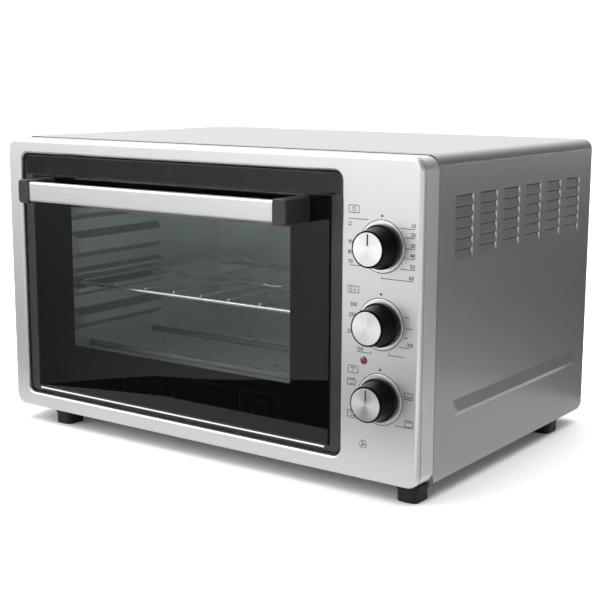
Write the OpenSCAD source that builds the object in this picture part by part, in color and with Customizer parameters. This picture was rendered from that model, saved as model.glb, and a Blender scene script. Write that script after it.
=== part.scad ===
// Countertop toaster oven with a drop-down glass door, three rotary controls,
// a convection fan and a sliding wire rack.
// Inside the modules, Y = 0 is the face of the fascia and Z = 0 its bottom edge;
// place() moves the whole oven onto its own origin, under the middle of its box.

/* [Body] */
// Overall width of fascia and cover
body_w = 520; // [516:1:530]
// Height of the fascia above its bottom edge
frame_h = 296; // [294:1:300]
// Height of the cover above the fascia's bottom edge
cover_h = 297.5; // [296:0.5:302]
// Depth from the fascia's face to the back of the cover
body_d = 363; // [361:1:375]
// Depth of the fascia frame
frame_d = 28; // [26:1:28]
// Corner radius of the fascia
frame_r = 12; // [10:1:14]
// Rounding of the fascia's outer front edge
edge_r = 4; // [3:0.5:5]
// Thickness of the sheet-metal panels
sheet = 1; // [0.8:0.1:1]
// Height of the feet
foot_h = 16; // [12:1:20]

/* [Door] */
// Left side of the door opening
door_x0 = -239.5; // [-241:0.5:-239]
// Right side of the door opening
door_x1 = 177; // [176:0.5:178]
// Bottom of the door opening
door_z0 = 16.5; // [16:0.5:17]
// Top of the door opening
door_z1 = 280.5; // [280:0.5:283]
// Height of the hinge axis
hinge_z = 26; // [26:0.5:27]
// Hinge axis behind the fascia's face
hinge_y = 8.5; // [8.4:0.1:8.8]
// Radius of the hinge pins
pin_r = 3; // [2.5:0.1:3]
// Front of the outer door glass behind the fascia's face
glass_y = 1; // [1:0.5:1.5]
// Thickness of the outer door glass
glass_t = 4; // [3:0.5:4]

/* [Handle] */
// Front of the handle bar ahead of the fascia's face
handle_out = 37; // [34:1:40]
// Height of the handle bar's centre line
handle_z = 244; // [240:1:246]
// Height of the bar's flat face
bar_h = 20; // [16:1:22]
// Depth of the bar
bar_d = 10; // [8:1:12]
// Width of each end bracket
bracket_w = 15.5; // [14:0.5:18]
// Height of each end bracket
bracket_h = 24.5; // [24:0.5:28]
// Distance between the outer faces of the end brackets
handle_w = 346; // [330:1:350]

/* [Cavity] */
// Inner width of the oven cavity
cavity_w = 373.5; // [373.5:0.5:374]
// Underside height of the cavity, at its floor
cavity_z0 = 52; // [50:1:52]
// Height of the cavity's roof
cavity_z1 = 262; // [262:1:264]
// Inner face of the cavity's rear wall
cavity_y1 = 308; // [308:1:312]
// How far the rack rails stand out from the side walls
rail_d = 10; // [9:0.5:10]
// Radius of the heating rods
rod_r = 3.25; // [3:0.25:3.5]

/* [Rack] */
// Height of the rack's frame wire
rack_z = 135.1; // [135:0.1:135.4]
// Diameter of the rack's frame wire
rack_frame_d = 4.5; // [4:0.1:4.5]
// Diameter of the rack's cross wires
rack_wire_d = 3; // [2.5:0.1:3.2]

/* [Controls] */
// Sideways place of the knobs
knob_x = 219.8; // [218:0.2:222]
// Heights of the timer, thermostat and selector knobs
knob_z = [216.5, 147, 78.5];
// Radius of a knob's base
knob_base_r = 20; // [19:0.5:21]
// Radius of a knob's front rim
knob_tip_r = 16; // [15.5:0.5:17]
// How far a knob stands out
knob_out = 24; // [22:1:26]
// Radius of a knob's spindle
spindle_r = 3; // [2.5:0.5:3]

/* [Hidden] */
$fn = 64;

// Overall box: the cord gland is the rearmost piece, the handle the foremost.
gland_proud = 4;
rear_y = body_d + gland_proud;
mid_y = (rear_y - handle_out) / 2;

// Fascia.
face_t = 2;
frame_wall = 3;
frame_cz = frame_h / 2;
groove_y0 = 4.6;
groove_y1 = 6.4;
groove_depth = 1.2;
lip_r = 2.5;
lip_t = 1.5;
joggle_inset = 3;
joggle_len = 6;
seam = 0.6;
knob_hole_len = 5;
screw_clear = 0.2;

// Cover.
cover_r = 11;
cover_fold = 5;
cover_flange = 16;
cover_z0 = 0.3;
cover_corner = 15;

// Louvres: pockets pressed inwards, open along their top.
louvre_len = 34;
louvre_d = 2;
louvre_h = 7.8;
louvre_gap = 1.1;
louvre_end = 0.8;
louvre_lip = 0.6;
louvre_end_slope = 0.4;
louvre_columns = 6;
louvre_rows = 6;
louvre_y0 = 58.5;
louvre_z0 = 250;
louvre_pitch_y = 47.4;
louvre_pitch_z = 9.8;

// Ridge pressed outwards low on each side of the cover.
ridge_y0 = 62;
ridge_y1 = 335;
ridge_z0 = 54.2;
ridge_z1 = 70.4;
ridge_peak = 58.8;
ridge_out = 2;
ridge_end = 7;

// Rear panel.
panel_t = 1.2;
panel_w = 500;
panel_z0 = 6;
panel_z1 = 290;
rear_screw_xs = [-242, -80, 80, 242];
rear_screw_zs = [18, 284];
vent_w = 30;
vent_h = 3;
vent_rows = 10;
vent_pitch = 12;
vent_pitch_x = 40;

// Base pan.
base_w = body_w - 3;
base_y0 = frame_d + seam;
base_y1 = body_d - 9;
base_edge = 12;

// Door opening, door and window.
open_w = door_x1 - door_x0;
open_h = door_z1 - door_z0;
open_r = 9;
door_cx = (door_x0 + door_x1) / 2;
open_cz = (door_z0 + door_z1) / 2;
door_gap = 1.5;
door_w = open_w - 2 * door_gap;
door_bottom = door_z0 + 2.5;
door_top = door_z1 - door_gap;
door_h = door_top - door_bottom;
door_cz = (door_bottom + door_top) / 2;
door_y0 = glass_y + 3;
door_y1 = 15;
door_wall = 1.6;
panel_y1 = door_y1 + sheet;
glass_w = 389;
glass_z0 = 24.5;
glass_z1 = 258;
glass_h = glass_z1 - glass_z0;
glass_cz = (glass_z0 + glass_z1) / 2;
window_w = 338;
window_z0 = 45;
window_z1 = 232;
window_h = window_z1 - window_z0;
window_cz = (window_z0 + window_z1) / 2;
inner_glass_t = 3;
ledge = 6;

// Handle.
bar_wall = 1.6;
bar_inset = 1.5;
bar_tenon = 8;
bracket_side = handle_w / 2 - bracket_w / 2;
bar_len = handle_w - 2 * bracket_w;
handle_screw_r = 2;

// Hinge, measured from the middle of the door.
pin_in = door_w / 2 - 12;
pin_out = door_w / 2 + 18;
hinge_plate_in = door_w / 2 + 7;
hinge_plate_t = 3;
spring_wire_r = 0.7;
spring_coil_r = 4.9;
spring_pitch = 1.3;
spring_turns = 6;
running = 0.05;

// Cavity.
flange_y0 = 20;
flange_y1 = flange_y0 + sheet;
cavity_h = cavity_z1 - cavity_z0;
cavity_cz = (cavity_z0 + cavity_z1) / 2;
half_cavity = cavity_w / 2;
floor_flange_h = 18;
dish_w = 250;
dish_l = 140;
dish_r = 60;
dish_d = 3;
dish_y = 170;
rail_y0 = 45;
rail_y1 = 193;
rail_slope = 7;
rails = [[80.5, 104], [118.5, 132.5], [139.5, 149.5], [161, 191], [204, 234]];
rod_low_z = cavity_z0 + 10;
rod_high_z = cavity_z1 - 12;
rod_low_y = [75, 180];
rod_high_y = [80, 200];
insulator_neck_r = 4.8;
insulator_flange_r = 7.5;
rod_reach = half_cavity + 9;
stub_reach = half_cavity + 15;
emboss_w = 214;
emboss_h = 150;
bulb_y = 205;
bulb_z = 245;

// Rack.
rack_half = 183;
rack_y0 = 52;
rack_y1 = 276;
rack_corner = 10;
rack_bar_mid = 164;
rack_offsets = [0, 37, 77, 125, 171];
weld = 0.3;

// Fan, on the cavity's rear wall.
fan_cz = 150;
fan_cover_r = 74;
fan_cover_d = 24;
fan_cover_rim = 6;
fan_r = 54;
fan_blades = 8;
fan_disc_y = cavity_y1 - 6;
hole_rings = [[20, 6], [36, 12], [52, 18]];
fan_shaft_r = 2.5;
fan_shaft_y0 = cavity_y1 - 20;
fan_shaft_y1 = cavity_y1 + 35;
motor_y0 = cavity_y1 + 10;
motor_y1 = cavity_y1 + 31;
strap_y = motor_y1 + sheet;
strap_half = 44;

// Control bay.
bracket_y0 = 16;
bracket_y1 = bracket_y0 + 1.5;
unit_y0 = bracket_y1;
timer_d = 24;
bell_y0 = unit_y0 + timer_d;
spindle_y0 = -15;
spindle_y1 = 38;
bushing_r = 5;
bushing_y0 = 7;
bezel_r = 23;
bezel_t = 1.2;
bezel_hole_r = 6;
knob_y0 = -bezel_t - 0.5;
cap_r = 14.8;
cap_t = 1;
lamp_x = 202.3;
lamp_z = 112;
lamp_r = 3.5;
shield_x = 181;
block_x = 214;
gland_x = 225;
gland_z = 45;
gland_bore_r = 4;
gland_neck_r = 8;
gland_head_r = 11;

// Feet: centre lines of the left and right pairs, and of the front and rear pairs.
foot_x = [-198, 243];
foot_y = [22, 300];
foot_w = 22;
foot_d = 25;
foot_flange = 5;
foot_screw_r = 2;

// Moves the oven so that its origin is under the middle of its box.
module place() {
    translate([0, -mid_y, foot_h]) children();
}

// A rectangle with true round corners, centred on the origin.
module rounded_rect(w, h, r) {
    square([w - 2 * r, h], center = true);
    square([w, h - 2 * r], center = true);
    for (sx = [-1, 1]) {
        for (sy = [-1, 1]) {
            translate([sx * (w / 2 - r), sy * (h / 2 - r)]) circle(r);
        }
    }
}

// A plate in the XZ plane, from y0 to y1.
module slab(cx, cz, w, h, r, y0, y1) {
    translate([cx, y1, cz]) rotate([90, 0, 0]) linear_extrude(y1 - y0) rounded_rect(w, h, r);
}

// A plain block between two corners.
module block(a, b) {
    translate(a) cube([b[0] - a[0], b[1] - a[1], b[2] - a[2]]);
}

// A round bar along X, Y or Z, starting at p.
module bar_x(p, r, len) {
    translate(p) rotate([0, 90, 0]) cylinder(r = r, h = len);
}
module bar_y(p, r, len) {
    translate(p) rotate([-90, 0, 0]) cylinder(r = r, h = len);
}
module bar_z(p, r, len) {
    translate(p) cylinder(r = r, h = len);
}

// A quarter of a torus in the XZ plane, in quadrant k.
module quarter_ring(p, big_r, small_r, k) {
    translate(p) rotate([90, 0, 0]) rotate([0, 0, 90 * k]) rotate_extrude(angle = 90)
        translate([big_r, 0]) circle(small_r);
}

// A round tube along the outline of a rounded rectangle, at depth y.
module tube_ring(cx, cz, w, h, big_r, small_r, y) {
    for (s = [-1, 1]) {
        bar_x([cx - w / 2 + big_r, y, cz + s * h / 2], small_r, w - 2 * big_r);
        bar_z([cx + s * w / 2, y, cz - h / 2 + big_r], small_r, h - 2 * big_r);
    }
    sx = [1, -1, -1, 1];
    sz = [1, 1, -1, -1];
    for (k = [0 : 3]) {
        quarter_ring([cx + sx[k] * (w / 2 - big_r), y, cz + sz[k] * (h / 2 - big_r)], big_r, small_r, k);
    }
}

// A slab whose front edge is rounded.
module pillow(cx, cz, w, h, r, fillet, y0, y1) {
    slab(cx, cz, w, h, r, y0 + fillet, y1);
    slab(cx, cz, w - 2 * fillet, h - 2 * fillet, r - fillet, y0, y0 + fillet);
    tube_ring(cx, cz, w - 2 * fillet, h - 2 * fillet, r - fillet, fillet, y0 + fillet);
}

// A wire through a list of points, with ball elbows.
module wire(points, r) {
    for (i = [0 : len(points) - 2]) {
        d = points[i + 1] - points[i];
        l = norm(d);
        translate(points[i]) rotate([0, acos(d[2] / l), atan2(d[1], d[0])]) cylinder(r = r, h = l);
    }
    for (i = [1 : len(points) - 2]) {
        translate(points[i]) sphere(r * 1.15);
    }
}

// The same shape on the left and on the right of the door's middle.
module both_sides() {
    for (s = [0, 1]) {
        translate([door_cx, 0, 0]) mirror([s, 0, 0]) children();
    }
}

module front_frame() {
    color("silver") place() {
        difference() {
            pillow(0, frame_cz, body_w, frame_h, frame_r, edge_r, 0, frame_d);
            slab(0, frame_cz, body_w - 2 * frame_wall, frame_h - 2 * frame_wall,
                 frame_r - frame_wall, face_t, frame_d + 1);
            frame_groove();
            slab(door_cx, open_cz, open_w + 2 * lip_r, open_h + 2 * lip_r, open_r + lip_r, -1, frame_d);
            for (z = knob_z) {
                bar_y([knob_x, -1, z], bezel_hole_r, knob_hole_len);
            }
            bar_y([lamp_x, -1, lamp_z], lamp_r + 0.1, knob_hole_len);
            for (x = foot_x) {
                bar_z([x, foot_y[0], -1], foot_screw_r + screw_clear, 6);
            }
        }
        door_lip();
        frame_joggle();
    }
}

// The groove behind the fascia's rounded edge.
module frame_groove() {
    difference() {
        slab(0, frame_cz, body_w + 4, frame_h + 4, frame_r + 2, groove_y0, groove_y1);
        slab(0, frame_cz, body_w - 2 * groove_depth, frame_h - 2 * groove_depth,
             frame_r - groove_depth, groove_y0 - 1, groove_y1 + 1);
    }
}

// The rolled edge and return flange round the door opening.
module door_lip() {
    difference() {
        union() {
            tube_ring(door_cx, open_cz, open_w + 2 * lip_r, open_h + 2 * lip_r, open_r + lip_r,
                      lip_r, lip_r);
            slab(door_cx, open_cz, open_w + 2 * lip_t, open_h + 2 * lip_t, open_r + lip_t,
                 lip_r, flange_y0);
        }
        slab(door_cx, open_cz, open_w, open_h, open_r, -1, flange_y0 + 1);
        bar_x([door_x0 - 5, hinge_y, hinge_z], pin_r + 1, open_w + 10);
    }
}

// The stepped-in edge that the cover slides over.
module frame_joggle() {
    w = body_w - 2 * joggle_inset;
    h = frame_h - 2 * joggle_inset;
    difference() {
        slab(0, frame_cz, w, h, frame_r - joggle_inset, frame_d - 1, frame_d + joggle_len);
        slab(0, frame_cz, w - 2, h - 2, frame_r - joggle_inset - 1, frame_d - 2, frame_d + joggle_len + 1);
        block([-body_w, 0, -1], [body_w, body_d, 14]);
    }
}

// Outer cover: a folded sheet with louvres and a pressed ridge on each side.
module cover_shell(inset) {
    top = cover_h - inset;
    h = top + 60;
    translate([0, body_d - inset, 0]) mirror([0, 1, 0])
        pillow(0, top - h / 2, body_w - 2 * inset, h, cover_r - inset, cover_fold - inset, 0,
               body_d - inset - frame_d - (inset == 0 ? seam : -1));
}

module outer_cover() {
    color("gray") place() difference() {
        union() {
            difference() {
                cover_shell(0);
                cover_shell(sheet);
            }
            for (s = [0, 1]) {
                mirror([s, 0, 0]) {
                    ridge(0);
                    louvres() louvre_pocket();
                }
            }
        }
        block([-body_w, 0, -90], [body_w, body_d + 9, cover_z0]);
        block([-body_w / 2 + cover_flange, body_d - 20, -1],
              [body_w / 2 - cover_flange, body_d + 1, cover_h - cover_flange]);
        for (s = [0, 1]) {
            mirror([s, 0, 0]) {
                ridge(-sheet);
                louvres() louvre_cut();
            }
        }
        cover_foot_corner();
        rear_screw_holes(1.6);
    }
}

// What rounds off the lower rear corner of the cover's sides.
module cover_foot_corner() {
    y = body_d - cover_corner;
    z = cover_z0 + cover_corner;
    difference() {
        block([-body_w, y, cover_z0 - 1], [body_w, body_d + 1, z]);
        bar_x([-body_w - 1, y, z], cover_corner, 2 * body_w + 2);
    }
}

// A prism along Y that stands on the right side of the cover; points are outward and up.
module side_prism(points, y0, y1) {
    translate([body_w / 2, y1, 0]) rotate([90, 0, 0]) linear_extrude(y1 - y0) polygon(points);
}

// The ridge's outer form, moved outwards by shift.
module ridge(shift) {
    root = -sheet / 2;
    translate([shift, 0, 0]) intersection() {
        side_prism([[root, ridge_z0], [0, ridge_z0], [ridge_out, ridge_peak],
                    [0, ridge_z1], [root, ridge_z1]], ridge_y0, ridge_y1);
        translate([body_w / 2, 0, ridge_z0 - 1]) linear_extrude(ridge_z1 - ridge_z0 + 2)
            polygon([[root, ridge_y0], [0, ridge_y0], [ridge_out, ridge_y0 + ridge_end],
                     [ridge_out, ridge_y1 - ridge_end], [0, ridge_y1], [root, ridge_y1]]);
    }
}

module louvres() {
    for (i = [0 : louvre_columns - 1]) {
        for (j = [0 : louvre_rows - 1]) {
            translate([0, louvre_y0 + i * louvre_pitch_y, louvre_z0 - j * louvre_pitch_z]) children();
        }
    }
}

// A pocket's outer form.
module louvre_pocket() {
    side_prism([[-0.5, -louvre_lip], [-0.5, louvre_h], [-louvre_d - 0.9, louvre_h]],
               -louvre_end, louvre_len + louvre_end);
}

// A pocket's hollow and its slot; the rear end slopes.
module louvre_cut() {
    top = louvre_h + louvre_gap;
    intersection() {
        side_prism([[0, 0], [1, 0], [1, top], [-louvre_d, top], [-louvre_d, louvre_h]],
                   0, louvre_len + 1);
        translate([body_w / 2, 0, -1]) linear_extrude(top + 2)
            polygon([[-louvre_d - 1, -1], [2, -1], [2, louvre_len + 2 * louvre_end_slope],
                     [-louvre_d - 1, louvre_len - (louvre_d + 1) * louvre_end_slope]]);
    }
}

// Rear panel, screwed on over the cover's rear flange.
module rear_screw_holes(r) {
    for (x = rear_screw_xs) {
        for (z = rear_screw_zs) {
            if (abs(x) > 200 || z > 200) {
                bar_y([x, body_d - 5, z], r, 10);
            }
        }
    }
}

module rear_panel() {
    color("lightslategray") place() difference() {
        slab(0, (panel_z0 + panel_z1) / 2, panel_w, panel_z1 - panel_z0, 6, body_d, body_d + panel_t);
        for (i = [-2 : 2]) {
            vent_column(door_cx + i * vent_pitch_x, 95);
        }
        vent_column(gland_x - 10, 150);
        bar_y([gland_x, body_d - 1, gland_z], gland_neck_r + 0.1, 4);
        rear_screw_holes(1.8);
    }
}

module vent_column(x, z) {
    for (j = [0 : vent_rows - 1]) {
        translate([x - vent_w / 2, body_d - 1, z + j * vent_pitch]) cube([vent_w, 4, vent_h]);
    }
}

module rear_screws() {
    color("gainsboro") place() for (x = rear_screw_xs) {
        for (z = rear_screw_zs) {
            if (abs(x) > 200 || z > 200) {
                screw_y([x, body_d + panel_t, z], 3, 1.8, 1.5, 7);
            }
        }
    }
}

// A pan-head screw whose head seats on the plane at p and points to -Y.
module screw_y(p, head_r, head_h, shank_r, shank_l) {
    translate(p) rotate([-90, 0, 0]) difference() {
        rotate_extrude() polygon([[0, -shank_l], [shank_r, -shank_l], [shank_r, 0], [head_r, 0],
                                  [head_r, head_h * 0.6], [head_r * 0.7, head_h], [0, head_h]]);
        for (a = [0, 90]) {
            rotate([0, 0, a]) translate([-head_r * 0.6, -0.35, head_h - 0.8]) cube([head_r * 1.2, 0.7, 2]);
        }
    }
}

// Base pan with upturned edges and air slots.
module base_pan() {
    color("darkgray") place() difference() {
        block([-base_w / 2, base_y0, 0], [base_w / 2, base_y1, base_edge]);
        block([-base_w / 2 + sheet, base_y0 + sheet, sheet], [base_w / 2 - sheet, base_y1 - sheet, 99]);
        for (i = [-4 : 4]) {
            for (j = [0 : 3]) {
                translate([door_cx + i * 36 - 10, 90 + j * 50, -1]) cube([20, 4, 4]);
            }
        }
        for (x = foot_x) {
            bar_z([x, foot_y[1], -1], foot_screw_r + screw_clear, 6);
        }
    }
}

// A foot with a recessed screw.
module foot(x, y) {
    color("black") place() translate([x, y, 0]) difference() {
        union() {
            translate([0, 0, -foot_h]) linear_extrude(foot_h) rounded_rect(foot_w, foot_d, 6);
            translate([0, 0, -foot_flange]) linear_extrude(foot_flange)
                rounded_rect(foot_w + 2, foot_d + 2, 7);
        }
        bar_z([0, 0, -foot_h - 1], 5, foot_h - foot_flange);
        bar_z([0, 0, -foot_h], foot_screw_r + 0.1, foot_h + 1);
    }
}
module foot_front_left() foot(foot_x[0], foot_y[0]);
module foot_front_right() foot(foot_x[1], foot_y[0]);
module foot_rear_left() foot(foot_x[0], foot_y[1]);
module foot_rear_right() foot(foot_x[1], foot_y[1]);

module foot_screws() {
    color("gainsboro") place() for (x = foot_x) {
        for (y = foot_y) {
            translate([x, y, -6]) rotate([-90, 0, 0]) screw_y([0, 0, 0], 4, 2.4, foot_screw_r, 11);
        }
    }
}

// Ring that closes the cavity's mouth behind the door opening.
module cavity_front_flange() {
    color("lightgray") place() difference() {
        slab(door_cx, open_cz, open_w + 2 * lip_t, open_h + 2 * lip_t, open_r, flange_y0, flange_y1);
        slab(door_cx, cavity_cz, cavity_w, cavity_h, 3, flange_y0 - 1, flange_y1 + 1);
    }
}

// Side wall, measured from the middle of the door: a sheet with hollow pressed rails and rod holes.
module side_wall() {
    difference() {
        union() {
            block([-half_cavity - sheet, flange_y1, cavity_z0], [-half_cavity, cavity_y1, cavity_z1]);
            for (r = rails) {
                rail(r, 0, sheet / 2, rail_d);
            }
        }
        for (r = rails) {
            rail(r, sheet, 2 * sheet, rail_d - sheet);
        }
        rod_holes(insulator_neck_r + 0.1);
    }
}

// A pressed rail with sloping sides; its root goes back behind the wall's face.
module rail(zs, inset, root, out) {
    y0 = rail_y0 + inset;
    y1 = rail_y1 - inset;
    z0 = zs[0] + inset;
    z1 = zs[1] - inset;
    slope = min(rail_slope, (zs[1] - zs[0]) / 3) * out / rail_d;
    intersection() {
        translate([-half_cavity, y1, 0]) rotate([90, 0, 0]) linear_extrude(y1 - y0)
            polygon([[-root, z0], [0, z0], [out, z0 + slope], [out, z1 - slope], [0, z1], [-root, z1]]);
        translate([-half_cavity, 0, z0 - 1]) linear_extrude(z1 - z0 + 2)
            polygon([[-root, y0], [0, y0], [out, y0 + slope], [out, y1 - slope], [0, y1], [-root, y1]]);
    }
}

module rod_holes(r) {
    for (y = rod_low_y) {
        bar_x([-half_cavity - 5, y, rod_low_z], r, 10);
    }
    for (y = rod_high_y) {
        bar_x([-half_cavity - 5, y, rod_high_z], r, 10);
    }
}

module cavity_left_wall() {
    color("lightgray") place() translate([door_cx, 0, 0]) side_wall();
}

module cavity_right_wall() {
    color("lightgray") place() difference() {
        translate([door_cx, 0, 0]) mirror([1, 0, 0]) side_wall();
        bar_x([door_cx + half_cavity - 5, bulb_y, bulb_z - 14], 2, 10);
    }
}

module cavity_roof() {
    color("lightgray") place() block([door_cx - half_cavity - sheet, flange_y1, cavity_z1],
                                     [door_cx + half_cavity + sheet, cavity_y1, cavity_z1 + sheet]);
}

// Floor pan with a shallow dish: its side flanges stand up inside the side walls.
module cavity_floor() {
    color("lightgray") place() difference() {
        union() {
            block([door_cx - half_cavity - sheet, flange_y1, cavity_z0 - sheet],
                  [door_cx + half_cavity + sheet, cavity_y1, cavity_z0]);
            both_sides() block([-half_cavity, flange_y1, cavity_z0],
                               [-half_cavity + sheet, cavity_y1, cavity_z0 + floor_flange_h]);
            translate([door_cx, dish_y, cavity_z0 - sheet - dish_d])
                linear_extrude(dish_d + sheet / 2) rounded_rect(dish_w, dish_l, dish_r);
        }
        translate([door_cx, dish_y, cavity_z0 - dish_d])
            linear_extrude(dish_d + 1) rounded_rect(dish_w - 2, dish_l - 2, dish_r - 1);
        both_sides() rod_holes(insulator_neck_r + 0.1);
    }
}

// Rear wall with a pressed rounded outline and the fan's shaft hole.
module cavity_rear_wall() {
    color("lightgray") place() difference() {
        union() {
            block([door_cx - half_cavity - sheet, cavity_y1, cavity_z0 - sheet],
                  [door_cx + half_cavity + sheet, cavity_y1 + sheet, cavity_z1 + sheet]);
            slab(door_cx, fan_cz, emboss_w, emboss_h, 25, cavity_y1, cavity_y1 + 3);
        }
        slab(door_cx, fan_cz, emboss_w - 2, emboss_h - 2, 24, cavity_y1 - 1, cavity_y1 + 2);
        slab(door_cx, fan_cz, emboss_w - 8, emboss_h - 8, 21, cavity_y1 - 1, cavity_y1 + 2.5);
        bar_y([door_cx, cavity_y1 - 1, fan_cz], fan_shaft_r + 2, 6);
    }
}

// Heating rods run across the cavity, with a connection stub at each end.
module heating_rod(y, z) {
    bar_x([door_cx - rod_reach, y, z], rod_r, 2 * rod_reach);
    bar_x([door_cx - stub_reach, y, z], 1.5, 2 * stub_reach);
}
module lower_heaters() {
    color("dimgray") place() for (y = rod_low_y) {
        heating_rod(y, rod_low_z);
    }
}
module upper_heaters() {
    color("dimgray") place() for (y = rod_high_y) {
        heating_rod(y, rod_high_z);
    }
}

// Ceramic bush at each end of each rod.
module insulator(y, z) {
    difference() {
        union() {
            bar_x([-half_cavity - sheet - 4, y, z], insulator_flange_r, 4);
            bar_x([-half_cavity - sheet, y, z], insulator_neck_r, 3);
        }
        bar_x([-half_cavity - 9, y, z], rod_r + 0.05, 14);
    }
}
module heater_insulators() {
    color("ivory") place() both_sides() {
        for (y = rod_low_y) {
            insulator(y, rod_low_z);
        }
        for (y = rod_high_y) {
            insulator(y, rod_high_z);
        }
    }
}

// Fan cover: a perforated dish on the cavity's rear wall.
module fan_cover() {
    y0 = cavity_y1 - fan_cover_d;
    color("lightgray") place() translate([door_cx, 0, fan_cz]) difference() {
        union() {
            bar_y([0, y0, 0], fan_cover_r, fan_cover_d);
            bar_y([0, cavity_y1 - sheet, 0], fan_cover_r + fan_cover_rim, sheet);
        }
        bar_y([0, y0 + sheet, 0], fan_cover_r - sheet, fan_cover_d);
        for (ring = hole_rings) {
            for (i = [0 : ring[1] - 1]) {
                rotate([0, i * 360 / ring[1], 0]) bar_y([ring[0], y0 - 1, 0], 5, 4);
            }
        }
        for (i = [0 : 11]) {
            rotate([0, i * 30, 0]) translate([fan_cover_r - 4, y0 + 8, -8]) cube([8, 8, 16]);
        }
    }
}

module fan_impeller() {
    color("silver") place() translate([door_cx, 0, fan_cz]) difference() {
        union() {
            bar_y([0, fan_disc_y, 0], fan_r, sheet);
            bar_y([0, fan_disc_y - 8, 0], 8, 9);
            for (i = [0 : fan_blades - 1]) {
                rotate([0, i * 360 / fan_blades, 0]) translate([fan_r - 26, fan_disc_y - 12, -0.5])
                    cube([24, 13, 1]);
            }
        }
        bar_y([0, fan_disc_y - 20, 0], fan_shaft_r, 40);
    }
}

module fan_shaft() {
    color("gainsboro") place()
        bar_y([door_cx, fan_shaft_y0, fan_cz], fan_shaft_r, fan_shaft_y1 - fan_shaft_y0);
}

// Shaded-pole motor: laminated stack, coil and end bearings round the fan shaft.
module fan_motor() {
    color("darkslategray") place() translate([door_cx, 0, fan_cz]) difference() {
        union() {
            block([-30, motor_y0 + 3, -24], [30, motor_y1 - 3, 24]);
            block([-16, motor_y0, -42], [16, motor_y1, -24]);
            bar_y([0, motor_y0 - 4, 0], 12, motor_y1 - motor_y0 + 4);
        }
        bar_y([0, motor_y0 - 9, 0], fan_shaft_r + running, 60);
    }
}

// U-shaped strap that holds the motor to the rear wall.
module motor_bracket() {
    y1 = strap_y + 1.5;
    foot_len = 14;
    y0 = cavity_y1 + 3;
    color("silver") place() translate([door_cx, 0, fan_cz]) difference() {
        union() {
            block([-strap_half, strap_y - sheet, -10], [strap_half, y1, 10]);
            for (s = [0, 1]) {
                mirror([s, 0, 0]) {
                    block([strap_half - 1.5, y0, -10], [strap_half, y1, 10]);
                    block([strap_half - 1.5, y0, -10], [strap_half + foot_len, y0 + 1.5, 10]);
                }
            }
        }
        bar_y([0, strap_y - 5, 0], fan_shaft_r + 2, 12);
    }
}

// Plate between the hot cavity and the control bay.
module heat_shield() {
    color("silver") place() difference() {
        block([shield_x, 48, sheet], [shield_x + sheet, 345, 285]);
        bar_x([shield_x - 1, bulb_y, bulb_z - 14], 2.5, 4);
    }
}

// Plate that carries the three control units behind the fascia.
module control_bracket() {
    color("silver") place() difference() {
        union() {
            block([187, bracket_y0, 45], [253, bracket_y1, 262]);
            for (x = [192, 248]) {
                for (z = [50, 182, 256]) {
                    bar_y([x, face_t, z], 3, bracket_y0 - face_t);
                }
            }
        }
        for (z = knob_z) {
            bar_y([knob_x, bracket_y0 - 1, z], bushing_r + 0.2, 4);
        }
        bar_y([lamp_x, bracket_y0 - 1, lamp_z], 4.5, 4);
    }
}

// Threaded bushing and spindle bore shared by the three control units.
module bushing() {
    bar_y([0, bushing_y0, 0], bushing_r, unit_y0 - bushing_y0 + 1);
}
module spindle_bore() {
    bar_y([0, bushing_y0 - 1, 0], spindle_r + running, spindle_y1 - bushing_y0 + 2);
}

module timer_unit() {
    color("khaki") place() translate([knob_x, 0, knob_z[0]]) difference() {
        union() {
            bushing();
            slab(0, 0, 52, 52, 6, unit_y0, bell_y0);
        }
        spindle_bore();
    }
}

module timer_bell() {
    color("silver") place() translate([knob_x, bell_y0, knob_z[0]]) rotate([-90, 0, 0]) {
        rotate_extrude() polygon([[0, 0], [3, 0], [3, 8], [20, 8], [23, 2], [24, 2], [21, 9.2], [0, 9.2]]);
    }
}

module thermostat_unit() {
    color("tan") place() translate([knob_x, 0, knob_z[1]]) difference() {
        union() {
            bushing();
            block([-18, unit_y0, -15], [18, unit_y0 + 28, 15]);
            for (x = [-10, 0, 10]) {
                block([x - 2, unit_y0 + 28, -12], [x + 2, unit_y0 + 36, -11.2]);
            }
        }
        spindle_bore();
    }
}

// Sensing bulb in the cavity and its capillary to the thermostat.
module thermostat_bulb() {
    x0 = door_cx + half_cavity - 5;
    z0 = bulb_z - 14;
    end_y = unit_y0 + 28.5;
    color("peru") place() {
        bar_y([x0, bulb_y + 2, bulb_z - 14], 2.4, 66);
        wire([[x0, bulb_y + 4, z0], [x0, bulb_y, z0], [200, bulb_y, z0], [200, bulb_y - 60, 175],
              [212, 80, 155], [212, end_y, 150]], 0.8);
    }
}

module selector_switch() {
    color("bisque") place() translate([knob_x, 0, knob_z[2]]) difference() {
        union() {
            bushing();
            slab(0, 0, 34, 34, 3, unit_y0, unit_y0 + 30);
            for (x = [-9, 0, 9]) {
                for (z = [-9, 9]) {
                    block([x - 2.4, unit_y0 + 30, z - 0.4], [x + 2.4, unit_y0 + 38, z + 0.4]);
                }
            }
        }
        spindle_bore();
    }
}

module knob_bezels() {
    color("silver") place() for (z = knob_z) {
        difference() {
            bar_y([knob_x, -bezel_t, z], bezel_r, bezel_t);
            bar_y([knob_x, -bezel_t - 1, z], bezel_hole_r, bezel_t + 2);
        }
    }
}

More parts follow.
